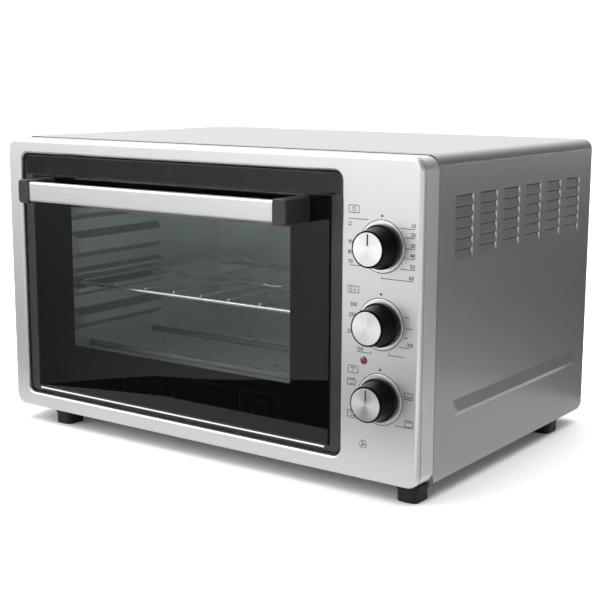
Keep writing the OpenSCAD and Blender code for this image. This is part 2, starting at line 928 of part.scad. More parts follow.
// A knob: a tapered skirt with a recess for the metal cap and a blind spindle hole.
module knob(z) {
    y1 = -knob_out;
    color("black") place() translate([knob_x, 0, z]) rotate([90, 0, 0]) rotate_extrude()
        polygon([[spindle_r, -knob_y0], [knob_base_r, -knob_y0], [knob_base_r, 3.4 - knob_y0],
                 [knob_base_r - 1.6, 4.4 - knob_y0], [knob_tip_r + 0.3, -y1 - 1.2], [knob_tip_r - 0.3, -y1],
                 [cap_r, -y1], [cap_r, -y1 - cap_t], [0, -y1 - cap_t], [0, -spindle_y0],
                 [spindle_r, -spindle_y0]]);
}

// A turned cap with a pointer groove that points up at rest.
module knob_cap(z) {
    color("gainsboro") place() translate([knob_x, -knob_out, z]) difference() {
        bar_y([0, 0, 0], cap_r, cap_t);
        translate([-0.8, -1, 3.5]) cube([1.6, 1.5, cap_r - 5]);
    }
}

module spindle(z) {
    color("gainsboro") place() bar_y([knob_x, spindle_y0, z], spindle_r, spindle_y1 - spindle_y0);
}

module knob_timer() knob(knob_z[0]);
module knob_thermostat() knob(knob_z[1]);
module knob_selector() knob(knob_z[2]);
module cap_timer() knob_cap(knob_z[0]);
module cap_thermostat() knob_cap(knob_z[1]);
module cap_selector() knob_cap(knob_z[2]);
module spindle_timer() spindle(knob_z[0]);
module spindle_thermostat() spindle(knob_z[1]);
module spindle_selector() spindle(knob_z[2]);

// Domed red lens and the lamp behind it.
module indicator_lens() {
    color("firebrick") place() translate([lamp_x, 0, lamp_z]) rotate([90, 0, 0]) rotate_extrude()
        polygon([[0, -4], [2.6, -4], [2.6, -9], [lamp_r, -9], [lamp_r, 0.4], [3, 1.2], [1.8, 1.8], [0, 2]]);
}
module indicator_lamp() {
    color("orangered") place() {
        bar_y([lamp_x, 5, lamp_z], 2.4, 24);
    }
}

// Mains terminal block on the base.
module terminal_block() {
    color("white") place() difference() {
        block([block_x - 20, 290, sheet], [block_x + 20, 312, 20]);
        for (x = [-12, 0, 12]) {
            bar_y([block_x + x, 289, 9], 2, 24);
            bar_z([block_x + x, 301, 12], 2.5, 10);
        }
    }
}

// Cord gland: a flanged bush with its bore left empty.
module cord_gland() {
    color("black") place() translate([gland_x, 0, gland_z]) difference() {
        union() {
            bar_y([0, body_d + panel_t, 0], gland_head_r, gland_proud - panel_t);
            bar_y([0, body_d - 14, 0], gland_neck_r, 16);
            bar_y([0, body_d - 12, 0], gland_head_r, 5);
        }
        bar_y([0, body_d - 20, 0], gland_bore_r, 40);
    }
}

// Supply wires from the terminal block up to the control units.
module internal_wiring() {
    color("crimson") place() {
        wire([[block_x - 12, 289.5, 9], [block_x - 12, 270, 9], [206, 120, 40], [210.8, 56, 87.5]], 1.3);
        wire([[block_x, 289.5, 9], [block_x, 262, 9], [226, 110, 120], [229.8, 54, 135.6]], 1.3);
        wire([[block_x + 12, 289.5, 9], [block_x + 12, 255, 9], [244, 120, 170], [244, 42, 205]], 1.3);
    }
}

// Hinge bracket: an upright plate with the pin's bore, on a foot on the base.
module hinge_bracket() {
    x1 = -hinge_plate_in;
    x0 = x1 - hinge_plate_t;
    difference() {
        union() {
            block([x0, face_t + 1.5, 14], [x1, 19, 44]);
            block([x0, frame_d + 2, sheet], [x1, 46, 44]);
            block([x0, 19, 30], [x1, frame_d + 3, 44]);
            block([x0 - 6, frame_d + 2, sheet], [x1, 46, sheet + 2]);
        }
        bar_x([x0 - 1, hinge_y, hinge_z], pin_r + running, hinge_plate_t + 2);
    }
}
module hinge_bracket_left() {
    color("silver") place() translate([door_cx, 0, 0]) hinge_bracket();
}
module hinge_bracket_right() {
    color("silver") place() translate([door_cx, 0, 0]) mirror([1, 0, 0]) hinge_bracket();
}

// A closed coil round each pin, with two straight legs.
module hinge_springs() {
    x0 = -hinge_plate_in - hinge_plate_t - 1.3;
    x1 = x0 - spring_pitch * (spring_turns - 1);
    color("dimgray") place() both_sides() {
        translate([x0, hinge_y, hinge_z]) rotate([0, -90, 0]) rotate_extrude() {
            for (i = [0 : spring_turns - 1]) {
                translate([spring_coil_r, i * spring_pitch]) circle(spring_wire_r);
            }
        }
        bar_z([x0, hinge_y + spring_coil_r, hinge_z], spring_wire_r - 0.1, 16);
        bar_y([x1, hinge_y, hinge_z + spring_coil_r], spring_wire_r - 0.1, 11);
    }
}

module hinge_pins() {
    color("gainsboro") place() both_sides() bar_x([-pin_out, hinge_y, hinge_z], pin_r, pin_out - pin_in);
}

// Door frame: a ring with a recess for the outer glass and a channel behind.
module door_frame() {
    wall = door_wall;
    color("dimgray") place() difference() {
        pillow(door_cx, door_cz, door_w, door_h, 8, 1, door_y0, door_y1);
        slab(door_cx, glass_cz, glass_w + 0.4, glass_h + 0.4, 1, door_y0 - 1, glass_y + glass_t);
        slab(door_cx, window_cz, window_w, window_h, 3, 0, door_y1 + 1);
        door_channel(wall);
        handle_screw_holes(handle_screw_r + 0.3);
        both_sides() bar_x([-door_w / 2 - 1, hinge_y, hinge_z], pin_r, 20);
    }
}

// The channel in the back of the door frame, kept clear of the pin bosses.
module door_channel(wall) {
    front = glass_y + glass_t + wall;
    difference() {
        slab(door_cx, door_cz, door_w - 2 * wall, door_h - 2 * wall, 8 - wall, front, door_y1 + 1);
        slab(door_cx, window_cz, window_w + 2 * ledge, window_h + 2 * ledge, 3, 0, door_y1 + 2);
        both_sides() block([-door_w / 2, 0, 0], [-pin_in + 2, 30, hinge_z + 8]);
    }
}

module handle_screw_holes(r) {
    for (s = [-1, 1]) {
        bar_y([door_cx + s * bracket_side, -20, handle_z], r, 32);
    }
}

module door_glass() {
    color([0.1, 0.11, 0.12, 0.5]) place() difference() {
        slab(door_cx, glass_cz, glass_w, glass_h, 1.5, glass_y, glass_y + glass_t);
        handle_screw_holes(handle_screw_r + 0.5);
    }
}

// Inner pane, seated in the frame's window.
module door_inner_glass() {
    color([0.5, 0.6, 0.6, 0.3]) place()
        slab(door_cx, window_cz, window_w - 0.6, window_h - 0.6, 3, door_y1 - inner_glass_t, door_y1);
}

module door_inner_panel() {
    color("silver") place() difference() {
        slab(door_cx, door_cz, door_w - 2, door_h - 2, 7, door_y1, panel_y1);
        slab(door_cx, window_cz, window_w - 16, window_h - 16, 8, door_y1 - 1, panel_y1 + 1);
    }
}

// Handle: a hollow bar held between two moulded brackets that hide its ends.
module bar_form(d, h, r, over) {
    l = bar_len + 2 * bar_tenon + 2 * over;
    translate([door_cx - l / 2, bar_inset - handle_out + bar_d / 2, handle_z]) rotate([90, 0, 90])
        linear_extrude(l) rounded_rect(d, h, r);
}
module handle_bar() {
    color("gainsboro") place() difference() {
        bar_form(bar_d, bar_h, 2, 0);
        bar_form(bar_d - 2 * bar_wall, bar_h - 2 * bar_wall, 0.8, 1);
    }
}
module handle_bracket(side) {
    color("black") place() difference() {
        pillow(door_cx + side * bracket_side, handle_z, bracket_w, bracket_h, 4, 1.5, -handle_out, glass_y);
        bar_form(bar_d, bar_h, 2, 0);
        bar_y([door_cx + side * bracket_side, -18, handle_z], handle_screw_r, 30);
    }
}
module handle_bracket_left() handle_bracket(-1);
module handle_bracket_right() handle_bracket(1);

module handle_screws() {
    color("gainsboro") place() for (s = [-1, 1]) {
        screw_y([door_cx + s * bracket_side, glass_y + glass_t + door_wall, handle_z],
                4, 2.4, handle_screw_r, 21);
    }
}

// Wire rack: a rounded frame, a middle bar and lengthways wires welded on top.
module wire_rack() {
    r = rack_frame_d / 2;
    wire_z = rack_z + r + rack_wire_d / 2 - weld;
    c = rack_half - rack_corner;
    color("silver") place() translate([door_cx, 0, 0]) {
        for (y = [rack_y0, rack_y1]) {
            bar_x([-c, y, rack_z], r, 2 * c);
        }
        bar_x([-rack_half, rack_bar_mid, rack_z], r, 2 * rack_half);
        for (s = [-1, 1]) {
            bar_y([s * rack_half, rack_y0 + rack_corner, rack_z], r, rack_y1 - rack_y0 - 2 * rack_corner);
        }
        for (k = [0 : 3]) {
            sx = [1, -1, -1, 1][k];
            y = [rack_y1 - rack_corner, rack_y0 + rack_corner][k < 2 ? 0 : 1];
            translate([sx * c, y, rack_z]) rotate([0, 0, 90 * k]) rotate_extrude(angle = 90)
                translate([rack_corner, 0]) circle(r);
        }
        for (d = rack_offsets) {
            for (s = d == 0 ? [1] : [-1, 1]) {
                bar_y([s * d, rack_y0 - 1.5, wire_z], rack_wire_d / 2, rack_y1 - rack_y0 + 3);
            }
        }
    }
}

front_frame();
outer_cover();
rear_panel();
base_pan();
foot_front_left();
foot_front_right();
foot_rear_left();
foot_rear_right();
cavity_front_flange();
cavity_left_wall();
cavity_right_wall();
cavity_roof();
cavity_floor();
cavity_rear_wall();
lower_heaters();
upper_heaters();
heater_insulators();
fan_cover();
fan_motor();
motor_bracket();
fan_impeller();
fan_shaft();
heat_shield();
control_bracket();
timer_unit();
timer_bell();
thermostat_unit();
thermostat_bulb();
selector_switch();
knob_bezels();
indicator_lens();
indicator_lamp();
terminal_block();
cord_gland();
internal_wiring();
hinge_bracket_left();
hinge_bracket_right();
hinge_springs();
rear_screws();
foot_screws();
door_frame();
door_glass();
door_inner_glass();
door_inner_panel();
handle_bar();
handle_bracket_left();
handle_bracket_right();
handle_screws();
hinge_pins();
wire_rack();
knob_timer();
cap_timer();
spindle_timer();
knob_thermostat();
cap_thermostat();
spindle_thermostat();
knob_selector();
cap_selector();
spindle_selector();
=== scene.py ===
"""Looks of a countertop toaster oven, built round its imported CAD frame.

Lengths are in metres in the frame's own axes: X to the right, Y to the back, Z up.
"""
import math

import bmesh
import bpy
from mathutils import Matrix, Vector


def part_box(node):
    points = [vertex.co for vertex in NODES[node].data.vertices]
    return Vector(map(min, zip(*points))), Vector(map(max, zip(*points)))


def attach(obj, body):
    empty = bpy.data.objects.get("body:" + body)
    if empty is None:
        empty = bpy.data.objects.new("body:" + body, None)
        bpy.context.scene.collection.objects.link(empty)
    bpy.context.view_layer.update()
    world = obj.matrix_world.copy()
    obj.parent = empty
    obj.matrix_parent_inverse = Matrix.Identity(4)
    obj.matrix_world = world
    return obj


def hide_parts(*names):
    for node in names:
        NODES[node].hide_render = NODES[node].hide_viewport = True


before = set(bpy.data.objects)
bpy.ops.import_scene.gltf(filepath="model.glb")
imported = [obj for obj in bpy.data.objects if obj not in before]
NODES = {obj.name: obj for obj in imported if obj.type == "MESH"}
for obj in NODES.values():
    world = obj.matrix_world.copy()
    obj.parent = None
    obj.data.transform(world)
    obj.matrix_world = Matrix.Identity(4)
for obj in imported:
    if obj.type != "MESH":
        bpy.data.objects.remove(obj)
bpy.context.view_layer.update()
MM = 0.001

# ---------------------------------------------------------------- places, from the frame
FACE_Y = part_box("front_frame")[0].y
FACE_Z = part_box("front_frame")[0].z
GLASS_LOW, GLASS_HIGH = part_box("door_glass")
GLASS_FRONT, GLASS_BACK = GLASS_LOW.y, GLASS_HIGH.y
KNOBS = ("timer", "thermostat", "selector")


def middle(node):
    """The middle of a CAD node's box."""
    low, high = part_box(node)
    return (low + high) / 2


# ---------------------------------------------------------------- node helpers
# The part of a noise's 0 to 1 range that most of it lies in.
NOISE_LOW, NOISE_HIGH = 0.3, 0.7


def map_range(tree, value, low, high, start, end, smooth=False):
    """Maps low..high of a value to start..end."""
    n = tree.nodes.new("ShaderNodeMapRange")
    if smooth:
        n.interpolation_type = "SMOOTHSTEP"
    for socket, number in zip(("From Min", "From Max", "To Min", "To Max"), (low, high, start, end)):
        n.inputs[socket].default_value = number
    tree.links.new(value, n.inputs["Value"])
    return n.outputs[0]


def math_node(tree, operation, *values):
    """A math node's result. Each value is a number or another node's output."""
    n = tree.nodes.new("ShaderNodeMath")
    n.operation = operation
    for socket, value in zip(n.inputs, values):
        if isinstance(value, (int, float)):
            socket.default_value = value
        else:
            tree.links.new(value, socket)
    return n.outputs[0]


# ---------------------------------------------------------------- materials
class Shader:
    """A material and the few node calls that its looks are made with."""

    def __init__(self, name, colour, metallic=0.0, roughness=0.5, **sockets):
        self.material = bpy.data.materials.new(name)
        self.material.use_nodes = True
        self.tree = self.material.node_tree
        self.bsdf = self.tree.nodes["Principled BSDF"]
        self.colour = colour
        self.roughness = roughness
        self.set("Base Color", (*colour, 1.0))
        self.set("Metallic", metallic)
        self.set("Roughness", roughness)
        for socket, value in sockets.items():
            self.set(socket.replace("_", " "), value)
        self.height = None
        self.tint = None
        self.gloss = None

    def set(self, socket, value):
        self.bsdf.inputs[socket].default_value = value

    def node(self, kind, **values):
        n = self.tree.nodes.new("ShaderNode" + kind)
        for key, value in values.items():
            if key in n.inputs:
                n.inputs[key].default_value = value
            else:
                setattr(n, key, value)
        return n

    def link(self, a, b):
        self.tree.links.new(a, b)

    def coords(self, stretch):
        """Object coordinates, scaled by stretch."""
        mapping = self.node("Mapping", Scale=stretch)
        self.link(self.node("TexCoord").outputs["Object"], mapping.inputs["Vector"])
        return mapping.outputs[0]

    def noise(self, scale, detail=2.0, stretch=(1, 1, 1)):
        n = self.node("TexNoise", Scale=scale, Detail=detail)
        self.link(self.coords(stretch), n.inputs["Vector"])
        return n.outputs["Fac"]

    def math(self, operation, *values):
        return math_node(self.tree, operation, *values)

    def spread(self, value, low, high):
        """Maps the middle of a 0 to 1 value to low..high."""
        return map_range(self.tree, value, NOISE_LOW, NOISE_HIGH, low, high)

    def shade(self, value, amount):
        """Lets a 0 to 1 value lighten and darken the base colour by amount."""
        factor = self.spread(value, 1 - amount, 1 + amount)
        self.tint = factor if self.tint is None else self.math("MULTIPLY", self.tint, factor)
        return self

    def rough(self, value, amount):
        """Lets a 0 to 1 value move the roughness by amount."""
        change = self.spread(value, -amount, amount)
        self.gloss = change if self.gloss is None else self.math("ADD", self.gloss, change)
        return self

    def bump(self, value, distance, strength):
        """Lets a 0 to 1 value raise the surface by up to distance."""
        n = self.node("Bump", Distance=distance, Strength=strength)
        self.link(value, n.inputs["Height"])
        self.height = n.outputs[0]
        return self

    def done(self):
        if self.tint is not None:
            n = self.node("VectorMath", operation="SCALE")
            n.inputs[0].default_value = self.colour
            self.link(self.tint, n.inputs["Scale"])
            self.link(n.outputs[0], self.bsdf.inputs["Base Color"])
        if self.gloss is not None:
            self.link(self.math("ADD", self.gloss, self.roughness), self.bsdf.inputs["Roughness"])
        if self.height is not None:
            self.link(self.height, self.bsdf.inputs["Normal"])
        return self.material


def metallic_paint(name, colour, metallic, roughness, coat):
    """Silver paint: fine flakes, slight orange peel and a clear coat."""
    s = Shader(name, colour, metallic, roughness, Coat_Weight=coat, Coat_Roughness=0.18)
    flakes = s.noise(2600, 1.0)
    s.shade(flakes, 0.04).rough(flakes, 0.02)
    s.shade(s.noise(9, 3.0), 0.01).rough(s.noise(40, 4.0), 0.01)
    return s.bump(s.noise(900, 2.0), 0.00001, 0.25).done()


def sheet_steel(name, colour, roughness, brush=(1, 1, 1), grain=300, metallic=0.9, painted_slope_shade=0.0):
    """Bare or plated sheet with rolling marks, faint stains and fingerprints.

    A painted shade darkens the colour of whatever slopes up or down on an upright sheet, by the amount
    given. It stands in for the darker reflections on the slopes of the walls' rails.
    """
    s = Shader(name, colour, metallic, roughness)
    # Painted shade: the base colour darkens as the surface normal tilts up or down.
    if painted_slope_shade:
        split = s.node("SeparateXYZ")
        s.link(s.node("TexCoord").outputs["Normal"], split.inputs[0])
        slope = s.math("ABSOLUTE", split.outputs["Z"])
        s.shade(s.math("SUBTRACT", 0.5, s.math("MULTIPLY", slope, 0.3)), painted_slope_shade)
    marks = s.noise(grain, 2.0, brush)
    s.shade(marks, 0.06).rough(marks, 0.05)
    s.shade(s.noise(14, 4.0), 0.04).rough(s.noise(22, 4.0), 0.04)
    return s.bump(marks, 0.000005, 0.3).done()


def brushed(name, colour, roughness, stretch):
    """Aluminium brushed along one axis."""
    s = Shader(name, colour, 1.0, roughness, Anisotropic=0.55)
    lines = s.noise(1.0, 6.0, stretch)
    s.shade(lines, 0.05).rough(lines, 0.06)
    return s.bump(lines, 0.00001, 0.25).done()


def spun(name):
    """Turned aluminium: rings round each knob's own axis, and the bow-tie glint that they give."""
    s = Shader(name, (0.95, 0.95, 0.94), 1.0, 0.33, Anisotropic=0.60)
    tangent = s.node("Tangent", direction_type="RADIAL", axis="Y")
    s.link(tangent.outputs[0], s.bsdf.inputs["Tangent"])
    return s.done()


def moulded(name, colour, roughness, grain=900, depth=0.00003, coat=0.0, specular=0.5):
    """Moulded plastic or rubber with a fine grain."""
    s = Shader(name, colour, 0.0, roughness, Coat_Weight=coat, Coat_Roughness=0.04,
               Specular_IOR_Level=specular)
    texture = s.noise(grain, 2.0)
    s.shade(s.noise(30, 3.0), 0.10).rough(texture, 0.05).rough(s.noise(60, 4.0), 0.05)
    return s.bump(texture, depth, 0.5).done()


def glass(name, tint, ior):
    """A clear pane: it lets light straight through, tinted, and mirrors by Fresnel."""
    material = bpy.data.materials.new(name)
    material.use_nodes = True
    tree = material.node_tree
    tree.nodes.clear()
    new = tree.nodes.new
    output = new("ShaderNodeOutputMaterial")
    mix = new("ShaderNodeMixShader")
    clear = new("ShaderNodeBsdfTransparent")
    clear.inputs["Color"].default_value = (*tint, 1.0)
    mirror = new("ShaderNodeBsdfGlossy")
    mirror.inputs["Roughness"].default_value = 0.015
    fresnel = new("ShaderNodeFresnel")
    fresnel.inputs["IOR"].default_value = ior
    geometry = new("ShaderNodeNewGeometry")
    outside = math_node(tree, "SUBTRACT", 1.0, geometry.outputs["Backfacing"])
    tree.links.new(math_node(tree, "MULTIPLY", fresnel.outputs[0], outside), mix.inputs[0])
    tree.links.new(clear.outputs[0], mix.inputs[1])
    tree.links.new(mirror.outputs[0], mix.inputs[2])
    tree.links.new(mix.outputs[0], output.inputs["Surface"])
    return material


def printed(name, colour, roughness=0.45, specular=0.5):
    """Screen-printed ink."""
    s = Shader(name, colour, 0.0, roughness, Specular_IOR_Level=specular)
    s.shade(s.noise(700, 2.0), 0.15).rough(s.noise(300, 2.0), 0.05)
    return s.done()


MATERIALS = {
    "fascia_silver": metallic_paint("fascia_silver", (0.76, 0.76, 0.76), 1.0, 0.38, 0.0),
    "cover_grey": metallic_paint("cover_grey", (0.45, 0.45, 0.45), 1.0, 0.24, 0.0),
    "galvanised": sheet_steel("galvanised", (0.55, 0.56, 0.57), 0.42, (1, 1, 6), 60),
    "cavity_steel": sheet_steel("cavity_steel", (0.80, 0.83, 0.83), 0.34, (1, 1, 12), 120, 0.6),
    "black_rubber": moulded("black_rubber", (0.006, 0.006, 0.006), 0.55, 700, 0.00005, 0.0, 0.3),
    "black_plastic": moulded("black_plastic", (0.020, 0.020, 0.020), 0.34),
    "knob_black": moulded("knob_black", (0.002, 0.002, 0.002), 0.18, 300, 0.00001, 0.0, 0.07),
    "door_paint": moulded("door_paint", (0.019, 0.019, 0.020), 0.36, 1600, 0.00002),
    "door_glass": glass("door_glass", (0.92, 0.94, 0.94), 1.50),
    "clear_glass": glass("clear_glass", (0.96, 0.97, 0.97), 1.30),
    "brushed_aluminium": brushed("brushed_aluminium", (0.82, 0.82, 0.82), 0.32, (6, 3600, 3600)),
    "spun_aluminium": spun("spun_aluminium"),
    "chrome_wire": sheet_steel("chrome_wire", (0.78, 0.78, 0.78), 0.16, (1, 1, 1), 200),
    "heater_steel": sheet_steel("heater_steel", (0.20, 0.203, 0.203), 0.60, (4, 1, 1), 90, 0.2),
    "ceramic": moulded("ceramic", (0.72, 0.69, 0.62), 0.30, 500, 0.00003),
    "red_lens": moulded("red_lens", (0.14, 0.012, 0.012), 0.12, 200, 0.00001, 0.6),
    "lamp_body": moulded("lamp_body", (0.55, 0.18, 0.10), 0.35),
    "white_plastic": moulded("white_plastic", (0.72, 0.71, 0.67), 0.42),
    "copper": sheet_steel("copper", (0.72, 0.36, 0.22), 0.28),
    "wire_cover": moulded("wire_cover", (0.34, 0.02, 0.02), 0.45),
    "motor_steel": sheet_steel("motor_steel", (0.17, 0.18, 0.19), 0.45, (1, 30, 1), 60),
}
INK = printed("fascia_ink", (0.016, 0.016, 0.017))
GLASS_INK = printed("glass_ink", (0.002, 0.002, 0.002), 0.9, 0.0)
FAINT_INK = printed("faint_ink", (0.009, 0.009, 0.009), 0.9, 0.0)
# Painted shade: near-black for the trays behind the louvres, where the inside of the cover is only in shade.
LOUVRE_SHADE = moulded("guard_black", (0.010, 0.010, 0.010), 0.6, 400, 0.00003)
# Painted highlight: a pale colour for the thin strip that stands for the glint along the foot of the door
# glass.
GLASS_EDGE_GLINT = moulded("ground_edge", (0.80, 0.80, 0.80), 0.35, 500, 0.00001)
BLACK_GLOSS = moulded("black_gloss", (0.002, 0.002, 0.002), 0.06, 60, 0.000004)
# The cavity's side walls: the same steel as cavity_steel, with painted shade darkening the slopes of their
# rails.
WALL_STEEL = sheet_steel("wall_steel", (0.80, 0.83, 0.83), 0.34, (1, 1, 12), 120, 0.6, 0.45)
INNER_PANEL = sheet_steel("inner_panel", (0.20, 0.205, 0.205), 0.40, (12, 1, 1), 120, 0.6)


# ---------------------------------------------------------------- CAD nodes
SHARP_ANGLE = 35.0
FLAT_ANGLE = 0.3
WELD_GAP = 0.000002


def crisp(obj, width, angle=SHARP_ANGLE):
    """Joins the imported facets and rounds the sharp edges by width, in metres."""
    weld = obj.modifiers.new("weld", "WELD")
    weld.merge_threshold = WELD_GAP
    flat = obj.modifiers.new("flat", "DECIMATE")
    flat.decimate_type = "DISSOLVE"
    flat.angle_limit = math.radians(FLAT_ANGLE)
    bevel = obj.modifiers.new("edges", "BEVEL")
    bevel.width = width
    bevel.segments = 2
    bevel.limit_method = "ANGLE"
    bevel.angle_limit = math.radians(angle)
    normals = obj.modifiers.new("normals", "WEIGHTED_NORMAL")
    normals.weight = 50
    normals.keep_sharp = False


# How far the edges of each piece are rounded, in metres.
EDGES = {
    0.00025: ("front_frame", "rear_panel", "base_pan", "door_inner_panel",
              "cavity_front_flange", "knob_bezels", "control_bracket", "motor_bracket",
              "rear_screws", "foot_screws", "handle_screws", "fan_cover"),
    0.0004: ("door_frame", "handle_bar", "cap_timer", "cap_thermostat", "cap_selector", "cord_gland",
             "hinge_bracket_left", "hinge_bracket_right", "hinge_pins", "terminal_block",
             "selector_switch", "thermostat_unit"),
    0.0008: ("foot_front_left", "foot_front_right", "foot_rear_left", "foot_rear_right",
             "handle_bracket_left", "handle_bracket_right", "timer_unit", "fan_motor"),
    0.0005: ("door_glass", "door_inner_glass"),
}

# The cover's ridges and the walls' rails have shallow sides, so their edges are found by smaller angles.
SHALLOW = (("outer_cover", 0.0004, 9.3), ("cavity_left_wall", 0.0005, 12.0),
           ("cavity_right_wall", 0.0005, 12.0))

# Pieces whose looks differ from those of their slot.
SPECIAL = {"door_inner_panel": INNER_PANEL, "cavity_left_wall": WALL_STEEL, "cavity_right_wall": WALL_STEEL}


def dress_cad():
    """Gives the CAD nodes their materials and rounded edges."""
    for obj in NODES.values():
        for i, old in enumerate(obj.data.materials):
            obj.data.materials[i] = MATERIALS[old.name.split(".")[0]]
    for width, names in EDGES.items():
        for name in names:
            crisp(NODES[name], width)
    for name, width, angle in SHALLOW:
        crisp(NODES[name], width, angle)
    for name, material in SPECIAL.items():
        mesh = NODES[name].data
        for i in range(len(mesh.materials)):
            mesh.materials[i] = material


# ---------------------------------------------------------------- mesh helpers
def piece(name, bm, body, slot, material=None, smooth=True):
    """Turns a bmesh into a piece that rides on a body."""
    bmesh.ops.recalc_face_normals(bm, faces=bm.faces)
    mesh = bpy.data.meshes.new(name)
    bm.to_mesh(mesh)
    bm.free()
    obj = bpy.data.objects.new(name, mesh)
    bpy.context.scene.collection.objects.link(obj)
    mesh.materials.append(material or MATERIALS[slot])
    if smooth:
        for polygon in mesh.polygons:
            polygon.use_smooth = True
        mesh.set_sharp_from_angle(angle=math.radians(SHARP_ANGLE))
    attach(obj, body)
    return obj


def rounded_outline(w, h, r, steps=6):
    """Points of a rectangle with round corners, anticlockwise from the lower right."""
    points = []
    for k, (sx, sz) in enumerate(((1, -1), (1, 1), (-1, 1), (-1, -1))):
        start = math.radians(-90 + 90 * k)
        for i in range(steps + 1):
            a = start + math.radians(90) * i / steps
            points.append((sx * (w / 2 - r) + r * math.cos(a), sz * (h / 2 - r) + r * math.sin(a)))
    return points


def circle_outline(r, steps=32):
    return [(r * math.cos(2 * math.pi * i / steps), r * math.sin(2 * math.pi * i / steps))
            for i in range(steps)]


def plate(bm, outline, at, thick):
    """A flat plate in the XZ plane, whose front face is at the point at."""
    front = [bm.verts.new((at[0] + x, at[1], at[2] + z)) for x, z in outline]
    back = [bm.verts.new((v.co.x, at[1] + thick, v.co.z)) for v in front]
    bm.faces.new(front)
    bm.faces.new(back[::-1])
    for i in range(len(front)):
        j = (i + 1) % len(front)
        bm.faces.new((front[i], back[i], back[j], front[j]))


def band(bm, outer, inner, at, thick):
    """A flat ring between two outlines that have the same number of points."""
    rings = []
    for outline in (outer, inner):
        for depth in (0, thick):
            rings.append([bm.verts.new((at[0] + x, at[1] + depth, at[2] + z)) for x, z in outline])
    outer_front, outer_back, inner_front, inner_back = rings
    n = len(outer)
    for i in range(n):
        j = (i + 1) % n
        bm.faces.new((outer_front[i], outer_front[j], inner_front[j], inner_front[i]))
        bm.faces.new((outer_back[j], outer_back[i], inner_back[i], inner_back[j]))
        bm.faces.new((outer_front[j], outer_front[i], outer_back[i], outer_back[j]))
        bm.faces.new((inner_front[i], inner_front[j], inner_back[j], inner_back[i]))


def stroke(bm, points, width, at, thick):
    """A thin printed line through points in the XZ plane."""
    left, right = [], []
    for i, (x, z) in enumerate(points):
        before = Vector(points[max(i - 1, 0)])
        after = Vector(points[min(i + 1, len(points) - 1)])
        here = Vector((x, z))
        d1 = (here - before).normalized() if i else (after - here).normalized()
        d2 = (after - here).normalized() if i < len(points) - 1 else d1
        n1, n2 = Vector((-d1.y, d1.x)), Vector((-d2.y, d2.x))
        mitre = (n1 + n2).normalized()
        mitre *= width / 2 / max(mitre.dot(n1), 0.4)
        left.append(here + mitre)
        right.append(here - mitre)
    plate(bm, [tuple(p) for p in left + right[::-1]], at, thick)


def digits(bm, text, height, at, thick):
    """A printed number, centred on the point at."""
    curve = bpy.data.curves.new("digits", "FONT")
    curve.body = text
    curve.size = height / 0.7
    curve.align_x = "CENTER"
    curve.align_y = "CENTER"
    curve.extrude = thick / 2
    curve.offset = 0.02 * height
    curve.resolution_u = 2
    obj = bpy.data.objects.new("digits", curve)
    bpy.context.scene.collection.objects.link(obj)
    graph = bpy.context.evaluated_depsgraph_get()
    mesh = bpy.data.meshes.new_from_object(obj.evaluated_get(graph))
    upright = Matrix.Rotation(math.pi / 2, 4, "X")
    mesh.transform(Matrix.Translation((at[0], at[1] + thick / 2, at[2])) @ upright)
    bm.from_mesh(mesh)
    bpy.data.meshes.remove(mesh)
    bpy.data.objects.remove(obj)
    bpy.data.curves.remove(curve)


# ---------------------------------------------------------------- printing on the fascia
PRINT = 0.05 * MM
LINE = 0.6 * MM
FINE_LINE = 0.45 * MM
DIGIT_H = 3.6 * MM


class Dial:
    """Printing round one knob. Places are in millimetres from the knob's axis."""

    def __init__(self, bm, knob):
        self.bm = bm
        self.centre = middle("knob_" + knob)

    def at(self, x, z):
        return (self.centre.x + x * MM, FACE_Y - PRINT, self.centre.z + z * MM)

    def line(self, *points, width=LINE):
        stroke(self.bm, [(x * MM, z * MM) for x, z in points], width, self.at(0, 0), 2 * PRINT)

    def number(self, text, x, z, height=DIGIT_H):
        digits(self.bm, text, height, self.at(x, z), 2 * PRINT)

    def dot(self, x, z, r):
        plate(self.bm, circle_outline(r * MM, 20), self.at(x, z), 2 * PRINT)

    def ring(self, x, z, r, width=LINE):
        band(self.bm, circle_outline(r * MM), circle_outline(r * MM - width), self.at(x, z), 2 * PRINT)

    def box(self, x, z, w, h, r=1.0, width=LINE):
        outer = rounded_outline(w * MM, h * MM, r * MM, 4)
        inner = rounded_outline(w * MM - 2 * width, h * MM - 2 * width, r * MM - width, 4)
        band(self.bm, outer, inner, self.at(x, z), 2 * PRINT)

    def zigzag(self, x, z, w, h, teeth):
        """A heating element's symbol."""
        points = [(x - w / 2 + w * i / (2 * teeth), z + (h / 2 if i % 2 else -h / 2))
                  for i in range(2 * teeth + 1)]
        self.line(*points, width=FINE_LINE)

    def outline(self):
        """The dot at the top and the thin line round the bezel."""
        self.dot(-0.2, 27.1, 1.15)
        self.ring(0, 0, 24.0, 0.7 * MM)


def timer_print(bm):
    dial = Dial(bm, "timer")
    dial.outline()
    ticks = ((18.6, 17.5, 33.2), (23.0, 9.6, 33.4), (24.4, 0.3, 33.6), (23.0, -8.5, 33.8),
             (18.8, -18.1, 34.0))
    for i, (x0, z, x1) in enumerate(ticks):
        dial.line((x0, z), (x1, z))
        dial.number(str(10 * (i + 1)), 31.4, z + 2.7)
    dial.line((0.2, -26.4), (0.2, -28.1), (32.6, -28.1))
    dial.number("60", 30.4, -25.4)
    for i, z in enumerate((-16.0, -7.2, 1.9)):
        dial.number(str(70 + 10 * i), -33.0, z)
    dial.line((-33.6, -19.0), (-20.2, -19.0))
    dial.line((-34.9, 22.8), (-14.4, 22.8))
    # A bell, for the mark that stays on.
    dial.box(-33.8, 18.6, 3.2, 3.4, 1.5, FINE_LINE)
    dial.line((-35.6, 16.7), (-32.0, 16.7), width=FINE_LINE)
    # A clock in a box.
    dial.box(-29.7, 31.4, 11.4, 7.2)
    dial.ring(-29.7, 31.4, 2.3, FINE_LINE)
    dial.line((-29.7, 32.9), (-29.7, 31.4), (-28.6, 30.7), width=FINE_LINE)


